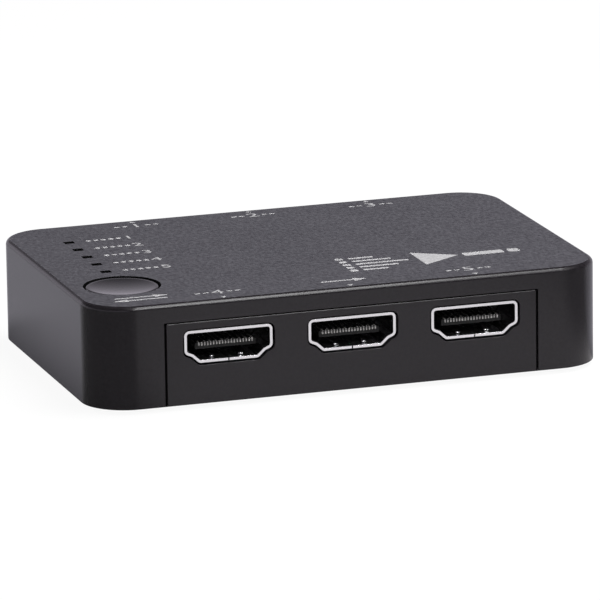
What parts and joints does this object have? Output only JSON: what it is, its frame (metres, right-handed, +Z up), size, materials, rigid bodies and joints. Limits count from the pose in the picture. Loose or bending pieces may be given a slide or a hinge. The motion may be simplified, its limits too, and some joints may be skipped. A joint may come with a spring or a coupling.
{
  "type": "video switch box",
  "caption": "Flat rounded plastic box that switches one of several digital video inputs to one output, with video sockets front and rear, a dished push button and a column of indicator slots.",
  "frame": {"origin": "middle of the box's outline on the surface that its feet rest on", "axes": "+X along the front towards the side without the button, +Y from the front to the rear, +Z up"},
  "size_m": [0.0874, 0.058, 0.0178],
  "materials": {
    "cover_plastic": "dark grey, finely textured roof",
    "tray_plastic": "dark grey, satin",
    "button_plastic": "grey, satin dish",
    "socket_metal": "bright plated sheet",
    "black_plastic": "black",
    "contact_metal": "pale flash over brass",
    "board_laminate": "green solder mask",
    "chip_plastic": "black moulding",
    "plain_steel": "bare",
    "tinned_metal": "tinned",
    "screw_steel": "zinc plated",
    "can_aluminium": "bare can",
    "tan_ceramic": "tan",
    "lamp_lens": "clear lens",
    "smoked_plastic": "dark smoked, clear",
    "foot_rubber": "matt"
  },
  "bodies": {
    "casing": {"top_cover": "cover_plastic", "base_tray": "tray_plastic", "main_board": "board_laminate", "switch_base": "black_plastic", "switch_plate": "plain_steel", "switch_dome": "plain_steel", "switch_legs": "tinned_metal", "light_guide": "smoked_plastic", "indicator_lamps": "lamp_lens", "signal_chip": "chip_plastic", "control_chip": "chip_plastic", "voltage_regulator": "chip_plastic", "clock_crystal": "plain_steel", "can_capacitors": "can_aluminium", "chip_capacitors": "tan_ceramic", "chip_resistors": "chip_plastic", "board_screws": "screw_steel", "base_screws": "screw_steel", "rubber_feet": "foot_rubber", "socket_shell_in_1": "socket_metal", "socket_insulator_in_1": "black_plastic", "socket_contacts_in_1": "contact_metal", "socket_shell_in_2": "socket_metal", "socket_insulator_in_2": "black_plastic", "socket_contacts_in_2": "contact_metal", "socket_shell_in_3": "socket_metal", "socket_insulator_in_3": "black_plastic", "socket_contacts_in_3": "contact_metal", "socket_shell_in_4": "socket_metal", "socket_insulator_in_4": "black_plastic", "socket_contacts_in_4": "contact_metal", "socket_shell_out": "socket_metal", "socket_insulator_out": "black_plastic", "socket_contacts_out": "contact_metal", "socket_shell_in_5": "socket_metal", "socket_insulator_in_5": "black_plastic", "socket_contacts_in_5": "contact_metal"},
    "button": {"select_button": "button_plastic", "switch_plunger": "black_plastic"}
  },
  "joints": [
    {"name": "button_press", "type": "slide", "parent": "casing", "child": "button", "axis": [0, 0, -1], "range_m": [0, 0.0004], "stiffness_N_per_m": 2500, "springref_m": -0.0002, "deforming": ["switch_dome"]}
  ]
}
